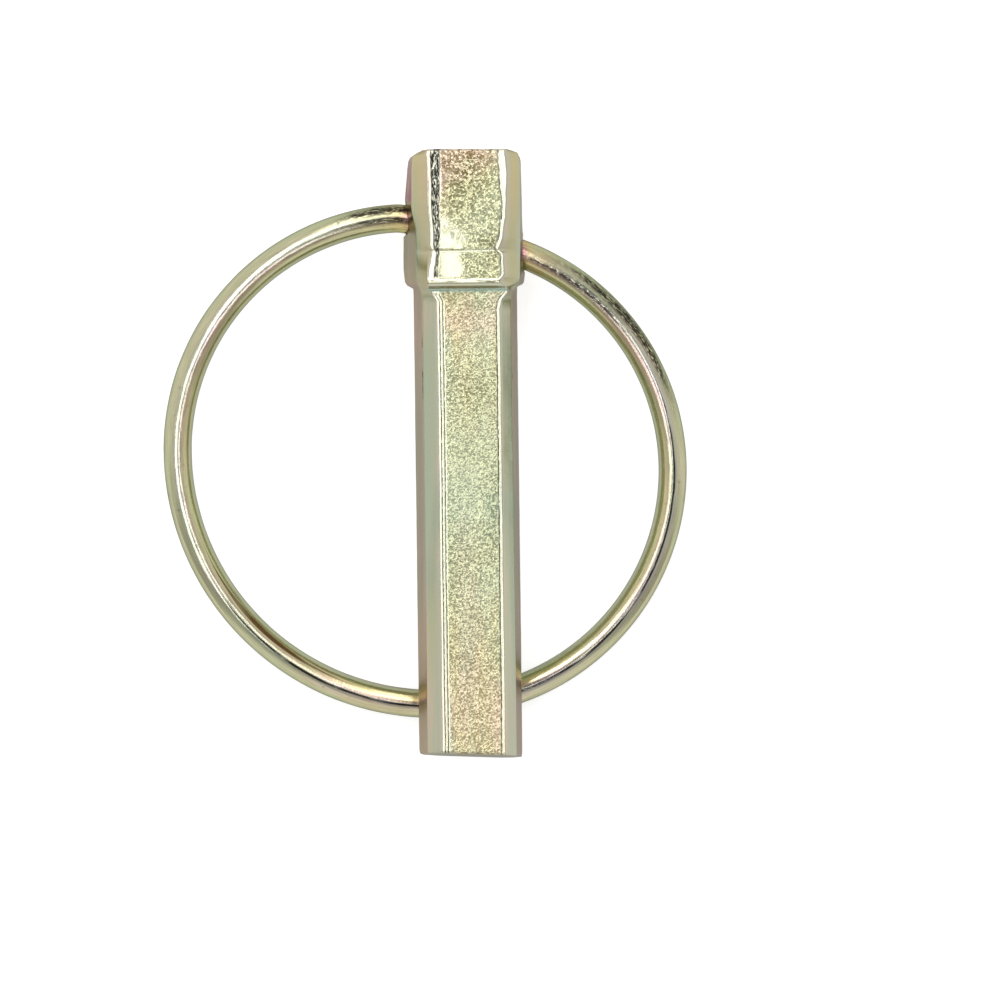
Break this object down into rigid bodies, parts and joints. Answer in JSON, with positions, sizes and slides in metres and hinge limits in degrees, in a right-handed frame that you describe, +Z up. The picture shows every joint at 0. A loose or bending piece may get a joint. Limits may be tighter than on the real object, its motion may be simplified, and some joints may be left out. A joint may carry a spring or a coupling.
{
  "type": "lynch pin",
  "caption": "Forged retaining pin with a flattened shank, a collared head and a spring wire ring hinged in it that snaps round the shank's end.",
  "frame": {"origin": "on the shank's axis at the shoulder, where the shank leaves the collar", "axes": "+Y along the pin towards the head, +Z up as the pin rests on a table with its closed ring beneath, +X to the right seen from above"},
  "size_m": [0.0475, 0.0552, 0.0118],
  "materials": {
    "pin_steel": "forged steel, yellow chromate over zinc",
    "ring_wire": "drawn spring wire, yellow chromate over zinc"
  },
  "bodies": {
    "pin": {"pin": "pin_steel"},
    "ring": {"ring": "ring_wire"}
  },
  "joints": [
    {"name": "ring_flip", "type": "hinge", "parent": "pin", "child": "ring", "pos_m": [-0.00001, 0.0045, -0.0002], "axis": [0.9551, -0.2921, -0.0489], "range_deg": [0, 343.45]}
  ]
}
